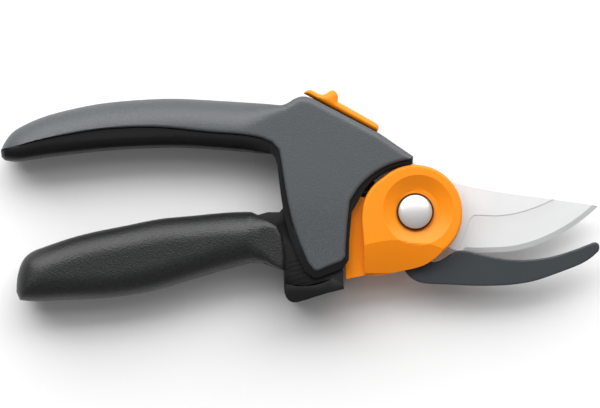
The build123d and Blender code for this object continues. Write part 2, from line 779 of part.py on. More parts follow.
with BuildPart() as return_spring:
    with BuildLine(Plane((pin[0], pin[1], mid_height + spring_low), x_dir=(
            cos(radians(leg_angle)), sin(radians(leg_angle)), 0), z_dir=(0, 0, 1))) as coil:
        Helix(spring_pitch, spring_pitch * (spring_turns - 0.5), spring_radius)
    with BuildSketch(Plane(coil.line @ 0, z_dir=coil.line % 0)):
        Circle(spring_wire / 2)
    sweep(path=coil.line)
save(return_spring, "return_spring")
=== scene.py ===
# %% [markdown]
# # A geared bypass pruner
# The tool lies flat on its rear side. Its covers, grip, gear housing, slider, blade and hook all are
# flat things with an outline that matters and a surface that swells, dips or is ground. So most pieces
# here are made in one way: take the outline from the fixed model by cutting it at a height, fill it with
# a fine net of triangles, and lift the net by a formula. What is left over gets softened edges.

# %% Load the fixed model
from math import cos, pi, radians, sin

import bmesh
import bpy
import numpy as np
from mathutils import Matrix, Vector, geometry


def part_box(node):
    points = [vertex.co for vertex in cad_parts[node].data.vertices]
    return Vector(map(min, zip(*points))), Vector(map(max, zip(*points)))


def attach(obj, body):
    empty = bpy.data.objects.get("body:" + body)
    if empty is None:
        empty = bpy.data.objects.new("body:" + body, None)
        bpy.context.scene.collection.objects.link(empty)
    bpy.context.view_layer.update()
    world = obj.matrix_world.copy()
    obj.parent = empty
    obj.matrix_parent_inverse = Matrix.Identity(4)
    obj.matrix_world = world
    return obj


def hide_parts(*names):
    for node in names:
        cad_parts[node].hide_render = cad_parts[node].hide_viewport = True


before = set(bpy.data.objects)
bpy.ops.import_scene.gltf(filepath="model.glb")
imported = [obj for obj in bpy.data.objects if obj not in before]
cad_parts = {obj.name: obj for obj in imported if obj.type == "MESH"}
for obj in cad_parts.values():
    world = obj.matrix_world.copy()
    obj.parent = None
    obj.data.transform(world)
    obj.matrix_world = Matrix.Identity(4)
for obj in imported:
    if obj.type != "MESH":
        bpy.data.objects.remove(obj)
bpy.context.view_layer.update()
MM = 0.001

# %% [markdown]
# ## Heights
# The mid-plane, where blade and hook touch, is the hook's lower face. Every height below is told from it,
# and is read from the model, so a change there moves the pieces here.

# %% Heights above the mid-plane, from the model
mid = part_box("counter_blade")[0].z
hook_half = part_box("counter_blade")[1].z - mid
blade_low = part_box("cutting_blade")[0].z - mid
blade_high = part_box("cutting_blade")[1].z - mid
cover_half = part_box("upper_cover_front")[1].z - mid
cheek_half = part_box("upper_frame")[1].z - mid
housing_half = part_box("gear_housing_front")[1].z - mid
grip_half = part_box("lower_grip")[1].z - mid
slider_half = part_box("lock_slider")[1].z - mid
flange_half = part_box("housing_dowels")[1].z - mid
print("half heights in mm:", round(cover_half / MM, 2), round(housing_half / MM, 2))

# %% [markdown]
# ## Outlines
# A cut through a closed mesh at a height gives the loops where its walls cross that height. The loops are
# then walked at even steps, but the true corners are kept, so rounded stretches stay round and corners crisp.

# %% Cut a node at a height and walk the loops at even steps
def section(node, height):
    """Loops, longest first, where a node's walls cross a height above the mid-plane."""
    cut = bmesh.new()
    cut.from_mesh(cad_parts[node].data)
    bmesh.ops.remove_doubles(cut, verts=cut.verts, dist=1e-6)
    everything = cut.verts[:] + cut.edges[:] + cut.faces[:]
    found = bmesh.ops.bisect_plane(
        cut, geom=everything, plane_co=(0, 0, mid + height), plane_no=(0, 0, 1), dist=1e-8)
    edges = [e for e in found["geom_cut"] if isinstance(e, bmesh.types.BMEdge)]
    around = {}
    for edge in edges:
        for vert in edge.verts:
            around.setdefault(vert, []).append(edge.other_vert(vert))
    loops, seen = [], set()
    for start in around:
        if start in seen:
            continue
        loop, here = [], start
        while here is not None and here not in seen:
            seen.add(here)
            loop.append((here.co.x, here.co.y))
            here = next((v for v in around[here] if v not in seen), None)
        loops.append(np.array(loop))
    cut.free()
    loops = [loop for loop in loops if len(loop) > 2]
    return sorted(loops, key=lambda loop: -np.linalg.norm(loop - np.roll(loop, 1, 0), axis=1).sum())


def even(loop, step=0.8 * MM, corner=22):
    """The loop counter-clockwise, with its corners kept and the rest at even steps."""
    area = np.sum(loop[:, 0] * np.roll(loop[:, 1], -1) - np.roll(loop[:, 0], -1) * loop[:, 1])
    if area < 0:
        loop = loop[::-1]
    gap = np.linalg.norm(loop - np.roll(loop, 1, 0), axis=1)
    loop = loop[gap > 2e-6]
    before, after = loop - np.roll(loop, 1, 0), np.roll(loop, -1, 0) - loop
    turn = np.arctan2(before[:, 0] * after[:, 1] - before[:, 1] * after[:, 0], (before * after).sum(1))
    corners = [int(i) for i in np.flatnonzero(np.abs(turn) > radians(corner))] or [0]
    points = []
    for index, first in enumerate(corners):
        last = corners[(index + 1) % len(corners)]
        if last <= first:
            last += len(loop)
        run = loop[np.arange(first, last + 1) % len(loop)]
        length = np.concatenate([[0], np.cumsum(np.linalg.norm(np.diff(run, axis=0), axis=1))])
        count = max(1, int(round(length[-1] / step)))
        at = np.linspace(0, length[-1], count + 1)[:-1]
        points += list(zip(np.interp(at, length, run[:, 0]), np.interp(at, length, run[:, 1])))
    return np.array(points)


# %% Distances from points to a line, and which points a loop holds
def distance(points, line, closed=True):
    """Shortest distance from each point to a line of points."""
    ends = np.roll(line, -1, 0) if closed else line[1:]
    starts = line if closed else line[:-1]
    along = ends - starts
    size = np.maximum((along ** 2).sum(1), 1e-18)
    best = np.full(len(points), 1e9)
    for low in range(0, len(points), 2000):
        chunk = points[low:low + 2000, None, :]
        share = np.clip(((chunk - starts) * along).sum(2) / size, 0, 1)
        nearest = starts + share[..., None] * along
        best[low:low + 2000] = np.sqrt(((chunk - nearest) ** 2).sum(2)).min(1)
    return best


def stretch(loop, start, end):
    """The points of a loop from the one nearest start on to the one nearest end."""
    first, last = (int(np.argmin(((loop - np.array(spot) * MM) ** 2).sum(1))) for spot in (start, end))
    return loop[(first + np.arange((last - first) % len(loop) + 1)) % len(loop)]


def held(points, loop):
    """True for each point inside a closed loop."""
    x, y = points[:, 0:1], points[:, 1:2]
    x0, y0 = loop[:, 0], loop[:, 1]
    x1, y1 = np.roll(x0, -1), np.roll(y0, -1)
    rise = np.where(y1 == y0, 1e-12, y1 - y0)
    crosses = ((y0 > y) != (y1 > y)) & (x < (x1 - x0) * (y - y0) / rise + x0)
    return crosses.sum(1) % 2 == 1


def ramp(value, low, high):
    """0 below low, 1 above high, with a smooth rise between."""
    share = np.clip((value - low) / (high - low), 0, 1)
    return share * share * (3 - 2 * share)


def roll(depth, radius, drop):
    """How far a rounded edge has dropped, at a depth in from it."""
    share = 1 - np.clip(depth / radius, 0, 1)
    return drop * (1 - np.sqrt(np.maximum(0, 1 - share * share)))


# %% [markdown]
# ## One way to make most pieces
# `sculpt` fills an outline with triangles: close rings just inside the edge, where a surface rolls over,
# and a coarser grid further in. The upper and lower nets are lifted by two formulas of place and of the
# distance from the edge, and a wall joins them, so every piece is a closed solid.

# %% Fill an outline and lift it
RINGS = [0.12, 0.28, 0.5, 0.8, 1.2, 1.8, 2.6, 3.6, 4.8]  # mm in from the edge
CROWD = 0.22 * MM      # one point is kept per cell of this size
ROW_STEP = 0.87        # rows of even triangles, as a share of the grid
METRE_TO_MM = 1000.0   # the triangulation works better on larger numbers


def net(outline, holes, grid, rings, marks):
    """Points and triangles that fill an outline, without its holes. Marks are points it must have."""
    loops = [outline] + holes
    points = loops + [spots[held(spots, outline)] for spots in marks]
    for index, loop in enumerate(loops):
        tangent = np.roll(loop, -1, 0) - np.roll(loop, 1, 0)
        tangent /= np.maximum(np.linalg.norm(tangent, axis=1), 1e-12)[:, None]
        inward = np.stack([-tangent[:, 1], tangent[:, 0]], 1) * (1 if index == 0 else -1)
        for ring in rings:
            moved = loop + inward * ring * MM
            clear = np.min([distance(moved, other) for other in loops], axis=0) > ring * MM * 0.93
            points.append(moved[clear & held(moved, outline)])
    low, high = outline.min(0), outline.max(0)
    xs, ys = np.arange(low[0], high[0], grid), np.arange(low[1], high[1], grid * ROW_STEP)
    lattice = np.array([(x + (row % 2) * grid / 2, y) for row, y in enumerate(ys) for x in xs])
    far = rings[-1] * MM + grid * 0.45 if rings else grid * 0.5
    clear = np.min([distance(lattice, other) for other in loops], axis=0) > far
    inside = held(lattice, outline)
    for hole in holes:
        inside &= ~held(lattice, hole)
    points.append(lattice[clear & inside])
    flat = np.concatenate(points)
    # rings of neighbouring edges meet at corners: keep one point where several crowd together
    fixed = sum(len(spots) for spots in points[:len(loops) + len(marks)])
    cells, kept = {}, list(range(fixed))
    for number, point in enumerate(flat):
        key = (int(point[0] // CROWD), int(point[1] // CROWD))
        if number >= fixed and key not in cells:
            kept.append(number)
        cells.setdefault(key, number)
    flat = flat[kept]
    edges, start = [], 0
    for loop in loops:
        edges += [(start + i, start + (i + 1) % len(loop)) for i in range(len(loop))]
        start += len(loop)
    verts, _, faces, *_ = geometry.delaunay_2d_cdt(
        [Vector(p) * METRE_TO_MM for p in flat], edges, [], 1, 1e-5)
    spots = np.array([tuple(v) for v in verts]) / METRE_TO_MM
    faces = np.array([f for f in faces if len(f) == 3])
    middle = spots[faces].mean(1)
    keep = held(middle, outline)
    for hole in holes:
        keep &= ~held(middle, hole)
    faces = faces[keep]
    a, b, c = spots[faces[:, 0]], spots[faces[:, 1]], spots[faces[:, 2]]
    turned = (b[:, 0] - a[:, 0]) * (c[:, 1] - a[:, 1]) - (b[:, 1] - a[:, 1]) * (c[:, 0] - a[:, 0]) < 0
    faces[turned] = faces[turned][:, ::-1]
    return spots, faces


def to_mesh(name, vertices, faces, crease=35):
    """A new object with smooth shading that breaks at creases."""
    mesh = bpy.data.meshes.new(name)
    mesh.from_pydata([tuple(v) for v in vertices], [], [tuple(int(i) for i in f) for f in faces])
    mesh.validate()
    tidy = bmesh.new()
    tidy.from_mesh(mesh)
    bmesh.ops.remove_doubles(tidy, verts=tidy.verts, dist=1e-6)
    bmesh.ops.recalc_face_normals(tidy, faces=tidy.faces)
    tidy.to_mesh(mesh)
    tidy.free()
    mesh.shade_smooth()
    mesh.set_sharp_from_angle(angle=radians(crease))
    piece = bpy.data.objects.new(name, mesh)
    bpy.context.collection.objects.link(piece)
    return piece


def sculpt(name, outline, upper, lower, holes=(), grid=1.5 * MM, rings=RINGS, crease=35,
           marks=()):
    """A closed piece over an outline, between two surfaces told as heights above the mid-plane."""
    spots, faces = net(outline, list(holes), grid, rings, list(marks))
    edge = distance(spots, outline)
    x, y = spots[:, 0], spots[:, 1]
    top, low = upper(x, y, edge), lower(x, y, edge)
    low = np.minimum(low, top - 0.05 * MM)
    count = len(spots)
    vertices = np.concatenate([np.column_stack([spots, mid + top]), np.column_stack([spots, mid + low])])
    directed = dict.fromkeys(pair for a, b, c in faces for pair in ((a, b), (b, c), (c, a)))
    rim = [(a, b) for a, b in directed if (b, a) not in directed]
    everything = [tuple(f) for f in faces] + [(a + count, c + count, b + count) for a, b, c in faces]
    everything += [(b, a, a + count, b + count) for a, b in rim]
    piece = to_mesh(name, vertices, everything, crease)
    print(name, len(everything), "faces")
    return piece


# %% [markdown]
# ## Softened pieces
# Some parts have the right shape already and only look too sharp. A copy of the model's mesh is merged,
# its flat stretches are joined, and a bevel takes the edges off, as moulding or tumbling does.

# %% Soften a copy of a node
def soften(node, width, name, cut_at=None, segments=2):
    """A copy of a node with its edges taken off, cut off beyond a plane (point, direction) if given."""
    work = bmesh.new()
    work.from_mesh(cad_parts[node].data)
    bmesh.ops.remove_doubles(work, verts=work.verts, dist=2e-6)
    if cut_at is not None:
        everything = work.verts[:] + work.edges[:] + work.faces[:]
        found = bmesh.ops.bisect_plane(
            work, geom=everything, plane_co=cut_at[0], plane_no=cut_at[1], clear_outer=True, dist=1e-8)
        rim = [e for e in found["geom_cut"] if isinstance(e, bmesh.types.BMEdge)]
        bmesh.ops.holes_fill(work, edges=rim, sides=0)
    bmesh.ops.dissolve_limit(
        work, angle_limit=radians(0.6), use_dissolve_boundaries=False, verts=work.verts, edges=work.edges,
        delimit={"NORMAL"})
    mesh = bpy.data.meshes.new(name)
    work.to_mesh(mesh)
    work.free()
    piece = bpy.data.objects.new(name, mesh)
    bpy.context.collection.objects.link(piece)
    bevel = piece.modifiers.new("edges", "BEVEL")
    bevel.width, bevel.segments, bevel.limit_method = width, segments, "ANGLE"
    bevel.angle_limit, bevel.use_clamp_overlap = radians(35), True
    view = bpy.context.evaluated_depsgraph_get()
    piece.data = bpy.data.meshes.new_from_object(piece.evaluated_get(view))
    piece.modifiers.clear()
    piece.data.shade_smooth()
    piece.data.set_sharp_from_angle(angle=radians(40))
    print(name, len(piece.data.polygons), "faces")
    return piece


def merge(name, pieces):
    """Join several objects' meshes into the first."""
    with bpy.context.temp_override(active_object=pieces[0], selected_editable_objects=pieces):
        bpy.ops.object.join()
    pieces[0].name = name
    return pieces[0]


def place(piece, body, material, slot, *nodes):
    """Give a piece its material, make it ride, and let it stand for its nodes; the slot is not used."""
    piece.data.materials.clear()
    piece.data.materials.append(material)
    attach(piece, body)
    if nodes:
        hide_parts(*nodes)
    return piece


# %% [markdown]
# ## Shared effects
# Moulded nylon, a soft grip and a coating all have a grain of their own, and ground steel has fine lines.
# Each effect is a node group, so that every material that has it only sets its own values.

# %% The grain group and the lines group
def new_group(name, inputs, outputs):
    """A shader node group with its sockets, and its two end nodes."""
    group = bpy.data.node_groups.new(name, "ShaderNodeTree")
    for label, default in inputs:
        socket = group.interface.new_socket(label, in_out="INPUT", socket_type="NodeSocketFloat")
        socket.default_value = default
    for label in outputs:
        group.interface.new_socket(label, in_out="OUTPUT", socket_type="NodeSocketFloat")
    return group, group.nodes.new("NodeGroupInput"), group.nodes.new("NodeGroupOutput")


def grain_group():
    """Moulded grain: fine pebbles with brighter specks, the same in all directions."""
    group, start, end = new_group(
        "moulded_grain", [("Grains per metre", 3000), ("Speck size", 0.5)], ["Height", "Specks", "Clouds"])
    place_in = group.nodes.new("ShaderNodeTexCoord")
    pebbles = group.nodes.new("ShaderNodeTexVoronoi")
    pebbles.feature = "SMOOTH_F1"
    specks = group.nodes.new("ShaderNodeTexNoise")
    specks.inputs["Detail"].default_value = 3
    clouds = group.nodes.new("ShaderNodeTexNoise")
    clouds.inputs["Scale"].default_value = 60
    clouds.inputs["Detail"].default_value = 2
    finer = group.nodes.new("ShaderNodeMath")
    finer.operation = "DIVIDE"
    link = group.links.new
    for texture in (pebbles, specks, clouds):
        link(place_in.outputs["Object"], texture.inputs["Vector"])
    link(start.outputs["Grains per metre"], pebbles.inputs["Scale"])
    link(start.outputs["Grains per metre"], finer.inputs[0])
    link(start.outputs["Speck size"], finer.inputs[1])
    link(finer.outputs[0], specks.inputs["Scale"])
    link(pebbles.outputs["Distance"], end.inputs["Height"])
    link(specks.outputs["Fac"], end.inputs["Specks"])
    link(clouds.outputs["Fac"], end.inputs["Clouds"])
    return group


def lines_group():
    """Ground or brushed lines: noise drawn out along one direction."""
    group, start, end = new_group(
        "ground_lines", [("Turn", 0.0), ("Lines per metre", 4000)], ["Lines", "Smears"])
    place_in = group.nodes.new("ShaderNodeTexCoord")
    turned = group.nodes.new("ShaderNodeVectorRotate")
    turned.rotation_type = "Z_AXIS"
    drawn = group.nodes.new("ShaderNodeVectorMath")
    drawn.operation = "MULTIPLY"
    drawn.inputs[1].default_value = (0.03, 1, 0.2)
    lines = group.nodes.new("ShaderNodeTexNoise")
    lines.inputs["Detail"].default_value = 4
    smears = group.nodes.new("ShaderNodeTexNoise")
    smears.inputs["Scale"].default_value = 90
    link = group.links.new
    link(place_in.outputs["Object"], turned.inputs["Vector"])
    link(start.outputs["Turn"], turned.inputs["Angle"])
    link(turned.outputs["Vector"], drawn.inputs[0])
    link(drawn.outputs["Vector"], lines.inputs["Vector"])
    link(start.outputs["Lines per metre"], lines.inputs["Scale"])
    link(place_in.outputs["Object"], smears.inputs["Vector"])
    link(lines.outputs["Fac"], end.inputs["Lines"])
    link(smears.outputs["Fac"], end.inputs["Smears"])
    return group


GRAIN = grain_group()
LINES = lines_group()


# %% [markdown]
# ## Finishes
# A grained plastic mixes a darker and a lighter shade by its specks and clouds, and its bump follows the
# pebbles. A metal keeps one colour, and its lines change only how rough and how level it is.

# %% Plastics and coatings with grain
ROUGHNESS_SWING = 0.06  # how far a finish strays to either side of its roughness


def grained(name, dark, light, roughness, grains, bump, speck_size=0.5, gloss=0.5):
    """A moulded or coated finish with grain."""
    material = bpy.data.materials.new(name)
    material.use_nodes = True
    nodes, link = material.node_tree.nodes, material.node_tree.links.new
    shader = nodes["Principled BSDF"]
    shader.inputs["Specular IOR Level"].default_value = gloss
    grain = nodes.new("ShaderNodeGroup")
    grain.node_tree = GRAIN
    grain.inputs["Grains per metre"].default_value = grains
    grain.inputs["Speck size"].default_value = speck_size
    sharpen = nodes.new("ShaderNodeMapRange")
    sharpen.inputs["From Min"].default_value = 0.42
    sharpen.inputs["From Max"].default_value = 0.62
    colour = nodes.new("ShaderNodeMix")
    colour.data_type = "RGBA"
    colour.inputs["A"].default_value, colour.inputs["B"].default_value = (*dark, 1), (*light, 1)
    rough = nodes.new("ShaderNodeMapRange")
    rough.inputs["To Min"].default_value = roughness - ROUGHNESS_SWING
    rough.inputs["To Max"].default_value = roughness + ROUGHNESS_SWING
    level = nodes.new("ShaderNodeBump")
    level.inputs["Strength"].default_value = bump
    level.inputs["Distance"].default_value = 0.1 * MM
    link(grain.outputs["Specks"], sharpen.inputs["Value"])
    link(sharpen.outputs["Result"], colour.inputs["Factor"])
    link(colour.outputs["Result"], shader.inputs["Base Color"])
    link(grain.outputs["Clouds"], rough.inputs["Value"])
    link(rough.outputs["Result"], shader.inputs["Roughness"])
    link(grain.outputs["Height"], level.inputs["Height"])
    link(level.outputs["Normal"], shader.inputs["Normal"])
    return material


grey_nylon = grained(
    "grey_nylon", (0.038, 0.043, 0.048), (0.092, 0.100, 0.108), 0.44, 3000, 0.7, gloss=0.5)
soft_grip = grained(
    "soft_grip", (0.005, 0.005, 0.005), (0.020, 0.021, 0.022), 0.40, 2000, 1.0, 0.7, gloss=0.45)
black_nylon = grained(
    "black_nylon", (0.004, 0.004, 0.004), (0.009, 0.009, 0.009), 0.40, 4200, 0.2, gloss=0.22)
orange_nylon = grained(
    "orange_nylon", (0.84, 0.225, 0.004), (0.92, 0.265, 0.006), 0.42, 5200, 0.12, gloss=0.25)
coated_steel = grained(
    "coated_steel", (0.026, 0.032, 0.037), (0.038, 0.046, 0.052), 0.40, 6000, 0.10, gloss=0.4)


# %% Steels and bronze with lines
def metal(name, colour, roughness, turn=0.0, lines=5000, bump=0.08, metallic=1.0):
    """A bare metal finish with ground lines."""
    material = bpy.data.materials.new(name)
    material.use_nodes = True
    nodes, link = material.node_tree.nodes, material.node_tree.links.new
    shader = nodes["Principled BSDF"]
    shader.inputs["Metallic"].default_value = metallic
    ground = nodes.new("ShaderNodeGroup")
    ground.node_tree = LINES
    ground.inputs["Turn"].default_value = turn
    ground.inputs["Lines per metre"].default_value = lines
    tint = nodes.new("ShaderNodeMix")
    tint.data_type = "RGBA"
    tint.inputs["A"].default_value = (*[c * 0.93 for c in colour], 1)
    tint.inputs["B"].default_value = (*colour, 1)
    rough = nodes.new("ShaderNodeMapRange")
    rough.inputs["To Min"].default_value = roughness - ROUGHNESS_SWING
    rough.inputs["To Max"].default_value = roughness + ROUGHNESS_SWING
    level = nodes.new("ShaderNodeBump")
    level.inputs["Strength"].default_value = bump
    level.inputs["Distance"].default_value = 0.03 * MM
    link(ground.outputs["Smears"], tint.inputs["Factor"])
    link(tint.outputs["Result"], shader.inputs["Base Color"])
    link(ground.outputs["Lines"], rough.inputs["Value"])
    link(rough.outputs["Result"], shader.inputs["Roughness"])
    link(ground.outputs["Lines"], level.inputs["Height"])
    link(level.outputs["Normal"], shader.inputs["Normal"])
    return material


ground_steel = metal(
    "ground_steel", (0.84, 0.845, 0.85), 0.34, turn=radians(80), bump=0.10, metallic=0.35)
rivet_steel = metal("rivet_steel", (0.76, 0.75, 0.74), 0.38, lines=1500, bump=0.03, metallic=0.7)
plain_steel = metal("plain_steel", (0.48, 0.48, 0.49), 0.35)
spring_steel = metal("spring_steel", (0.32, 0.32, 0.33), 0.30)
bronze = metal("bronze", (0.56, 0.37, 0.16), 0.40)
# Dark steel. On the pivot washers it is painted shade: it stands for the shadow gap round the bolt head. The
# handle pin has it too.
dark_steel = metal("dark_steel", (0.05, 0.045, 0.04), 0.45)
print("finishes:", sorted(material.name for material in bpy.data.materials if material.use_nodes))


# %% [markdown]
# ## Grey covers
# Each cover is one moulding: a nearly flat plate on the head that swells into a half-round shell on the
# handle. The handle's back rolls over far, while the line that meets the black frame is only eased.

# %% Two covers
def handle_share(x):
    """0 on the head, 1 well back on the handle."""
    return 1 - ramp(x, -66 * MM, -46 * MM)


def cover_piece(name, side, outline):
    """A cover, in front for side +1 and behind for -1."""
    backbone = stretch(outline, (-1, 20.3), (-151.6, 23.2))

    def face(x, y, edge):
        share = handle_share(x)
        from_back = distance(np.column_stack([x, y]), backbone, closed=False)
        over = roll(from_back, (2.2 + 8.8 * share) * MM, (2.0 + 7.4 * share) * MM)
        eased = roll(edge, 1.1 * MM, 0.9 * MM)
        sag = 1.0 * MM * ramp(-y, -6 * MM, 24 * MM)
        return cover_half - np.maximum(over, eased) - sag * (1 - share)

    def inside(x, y, edge):
        return np.where(x < -53 * MM, 0.0, cheek_half)

    def up(x, y, edge):
        return face(x, y, edge) if side > 0 else -inside(x, y, edge)

    def down(x, y, edge):
        return inside(x, y, edge) if side > 0 else -face(x, y, edge)

    return sculpt(name, outline, up, down)


front_outline = even(section("upper_cover_front", cover_half - 0.3 * MM)[0])
rear_outline = even(section("upper_cover_rear", -cover_half + 0.3 * MM)[0])
cover_front = cover_piece("cover_front", 1, front_outline)
cover_rear = cover_piece("cover_rear", -1, rear_outline)
place(cover_front, "upper_handle", grey_nylon, "grey_nylon", "upper_cover_front")
place(cover_rear, "upper_handle", grey_nylon, "grey_nylon", "upper_cover_rear")

# %% [markdown]
# ## Black frame
# What shows of the frame is a rim round the covers and the band along the inside of the handle, where the
# fingers pull. The band is well rounded towards the fingers.

# %% The head's plates, softened, and the band along the handle
HEAD_START = -53 * MM
BAND_END = -51.6 * MM
head_black = soften(
    "upper_frame", 0.9 * MM, "frame_black", cut_at=((HEAD_START, 0, 0), (-1, 0, 0)), segments=4)
frame_outline = section("upper_frame", cheek_half - 0.9 * MM)[0]


def left_of(loop, limit):
    """The part of a loop left of a limit in x, closed along that limit."""
    kept = []
    for here, after in zip(loop, np.roll(loop, -1, 0)):
        if here[0] <= limit:
            kept.append(here)
        if (here[0] <= limit) != (after[0] <= limit):
            share = (limit - here[0]) / (after[0] - here[0])
            kept.append(here + share * (after - here))
    return np.array(kept)


band_outline = even(left_of(frame_outline, BAND_END))
band_under = stretch(band_outline, (-151.8, 22.2), (-51.6, 20.6))


def band_face(x, y, edge):
    under = distance(np.column_stack([x, y]), band_under, closed=False)
    depth = 5.5 * MM - 4.8 * MM * ramp(x, -64 * MM, HEAD_START)
    return cheek_half - np.maximum(roll(under, 4.2 * MM, depth), roll(edge, 0.5 * MM, 0.3 * MM))


band = sculpt("band", band_outline, band_face, lambda x, y, edge: -band_face(x, y, edge))
frame_piece = merge("frame_black", [head_black, band])
place(frame_piece, "upper_handle", black_nylon, "black_nylon", "upper_frame")

# %% [markdown]
# ## Lower handle
# A hard core carries the gear, the side walls and the shoe, and a soft grip is moulded over it. The grip
# swells like a cushion of the hand, so its edges roll over far, but its front edge is a low step.

# %% The core and the grip
core_piece = soften("lower_handle_core", 0.5 * MM, "handle_core", segments=3)
place(core_piece, "lower_handle", black_nylon, "black_nylon", "lower_handle_core")

grip_outline = even(section("lower_grip", grip_half - 0.3 * MM)[0])


def grip_face(x, y, edge):
    front = ramp(x, -64 * MM, -50 * MM)
    return grip_half - roll(edge, (9.0 - 7.6 * front) * MM, (8.0 - 6.6 * front) * MM)


grip_piece = sculpt("grip", grip_outline, grip_face, lambda x, y, edge: -grip_face(x, y, edge))
place(grip_piece, "lower_handle", soft_grip, "soft_grip", "lower_grip")

# %% [markdown]
# ## Gear housings
# The lower layer of each housing has the teeth, so it is cut from the model at the flange's level and only
# softened. The raised face over it is sculpted: a dish round the bolt, and an underside that rolls away.

# %% Teeth below, face above
dish_x, dish_y = 1.0 * MM, 0.6 * MM
DISH_DROP = 2.6 * MM
DISH_RADIUS = 12.9 * MM
DISH_SLOPE_WIDTH = 5.4 * MM
UNDERSIDE_DROP = 5.0 * MM
UNDERSIDE_REACH = 13 * MM


def ridge(x):
    """Where the underside starts."""
    return -10.3 * MM - 12.0 * (x + 6 * MM) ** 2


turns = np.arange(0, 2 * pi, 0.03)
rim_marks = np.column_stack(
    [dish_x + DISH_RADIUS * np.cos(turns), dish_y + DISH_RADIUS * np.sin(turns)])
ridge_x = np.arange(-28 * MM, 24 * MM, 0.4 * MM)
ridge_marks = np.column_stack([ridge_x, ridge(ridge_x)])
from_dish = np.hypot(ridge_marks[:, 0] - dish_x, ridge_marks[:, 1] - dish_y)
ridge_marks = ridge_marks[from_dish > DISH_RADIUS * 0.95]


def housing_face(x, y, edge):
    """The raised face: level, with a dish, a falling underside and rounded edges."""
    out = np.hypot(x - dish_x, y - dish_y)
    dish = DISH_DROP * np.clip((DISH_RADIUS - out) / DISH_SLOPE_WIDTH, 0, 1)
    below = np.clip((ridge(x) - y) / UNDERSIDE_REACH, 0, 1)
    under = UNDERSIDE_DROP * (0.8 * below + 0.2 * below ** 2)
    rounded = roll(edge, 1.1 * MM, 1.1 * MM) + 0.55 * under
    return housing_half - np.maximum(np.maximum(dish, under), rounded)


def housing_piece(name, side, node):
    """A housing, in front for side +1 and behind for -1."""
    base = soften(
        node, 0.22 * MM, name, cut_at=((0, 0, mid + side * flange_half), (0, 0, side)), segments=2)
    loops = section(node, side * (flange_half + 0.2 * MM))
    outline = even(loops[0], step=0.6 * MM)
    holes = [even(loop) for loop in loops[1:]]
    floor = flange_half - 0.3 * MM

    def up(x, y, edge):
        return housing_face(x, y, edge) if side > 0 else np.full(len(x), -floor)

    def down(x, y, edge):
        return np.full(len(x), floor) if side > 0 else -housing_face(x, y, edge)

    raised = sculpt(name + "_face", outline, up, down, holes=holes, grid=0.8 * MM,
                    crease=16, marks=(rim_marks, ridge_marks))
    return base, raised


for side, label in ((1, "front"), (-1, "rear")):
    base, raised = housing_piece("housing_" + label, side, "gear_housing_" + label)
    housing = merge("housing_" + label, [base, raised])
    place(housing, "hook", orange_nylon, "orange_nylon", "gear_housing_" + label)

# %% [markdown]
# ## Blade and hook
# The blade is hollow ground from its front face, with a fine second bevel along the edge, and a broad bevel
# behind. The net gets extra points along the line where the grinding starts, so that line stays crisp.
# The hook keeps its full thickness, with its edges eased.

# %% The blade
blade_outline = even(section("cutting_blade", (blade_low + blade_high) / 2)[0], step=0.6 * MM, corner=16)
cutting_edge = stretch(blade_outline, (19.2, -15.2), (67.6, 1.6))
GRIND_LINE = np.array([
    (51.1, 4.6), (48.0, 3.1), (45.1, 1.9), (41.3, 0.6), (38.5, -0.2), (35.7, -0.8), (32.9, -1.2),
    (30.1, -1.4), (27.2, -1.3), (24.4, -1.1), (21.7, -1.2), (20.3, -2.9), (19.3, -5.4), (18.4, -7.9),
    (17.6, -10.4), (16.8, -13.0), (16.4, -15.0)]) * MM
GROUND = np.concatenate([GRIND_LINE, np.array([(16, -20), (45, -20), (75, -10), (75, 8), (56, 8)]) * MM])
SECOND_BEVEL = 1.9 * MM


def along(line, step):
    """Points at even steps on an open line."""
    length = np.concatenate([[0], np.cumsum(np.linalg.norm(np.diff(line, axis=0), axis=1))])
    at = np.linspace(0, length[-1], int(length[-1] / step) + 1)
    return np.column_stack([np.interp(at, length, line[:, 0]), np.interp(at, length, line[:, 1])])


grind_points = along(GRIND_LINE, 0.4 * MM)
heading = np.gradient(grind_points, axis=0)
heading /= np.linalg.norm(heading, axis=1)[:, None]
inner_points = grind_points + np.column_stack([-heading[:, 1], heading[:, 0]]) * 0.4 * MM


def blade_face(x, y, edge):
    spots = np.column_stack([x, y])
    in_ground = held(spots, GROUND)
    from_line = np.where(in_ground, distance(spots, GRIND_LINE, closed=False), 0)
    from_edge = distance(spots, cutting_edge, closed=False)
    step = 0.16 * MM * np.clip(from_line / (0.4 * MM), 0, 1)
    hollow = 0.25 * MM * (1 - np.exp(-from_line / (4 * MM)))
    second = 0.42 * np.clip(SECOND_BEVEL - from_edge, 0, None) * in_ground
    return blade_high - step - hollow - second


def blade_rear(x, y, edge):
    from_edge = distance(np.column_stack([x, y]), cutting_edge, closed=False)
    return blade_low + 1.7 * MM * np.clip(1 - from_edge / (6.5 * MM), 0, 1)


blade_rings = [0.12, 0.5, 1.0, 1.5, 1.9, 2.15, 2.8, 3.8, 5.0, 6.5]
blade_piece = sculpt(
    "blade", blade_outline, blade_face, blade_rear, rings=blade_rings, crease=12,
    marks=[grind_points, inner_points])
place(blade_piece, "upper_handle", ground_steel, "ground_steel", "cutting_blade")

# %% The hook
hook_outline = even(section("counter_blade", hook_half / 2)[0], step=0.7 * MM)
hook_piece = sculpt(
    "hook", hook_outline, lambda x, y, edge: hook_half - roll(edge, 0.5 * MM, 0.4 * MM),
    lambda x, y, edge: 0.0 * x + roll(edge, 0.3 * MM, 0.2 * MM))
place(hook_piece, "hook", coated_steel, "coated_steel", "counter_blade")

# %% [markdown]
# ## Lock slider
# A thumb pad that stands through the frame's back, with all its edges rounded for the thumb.

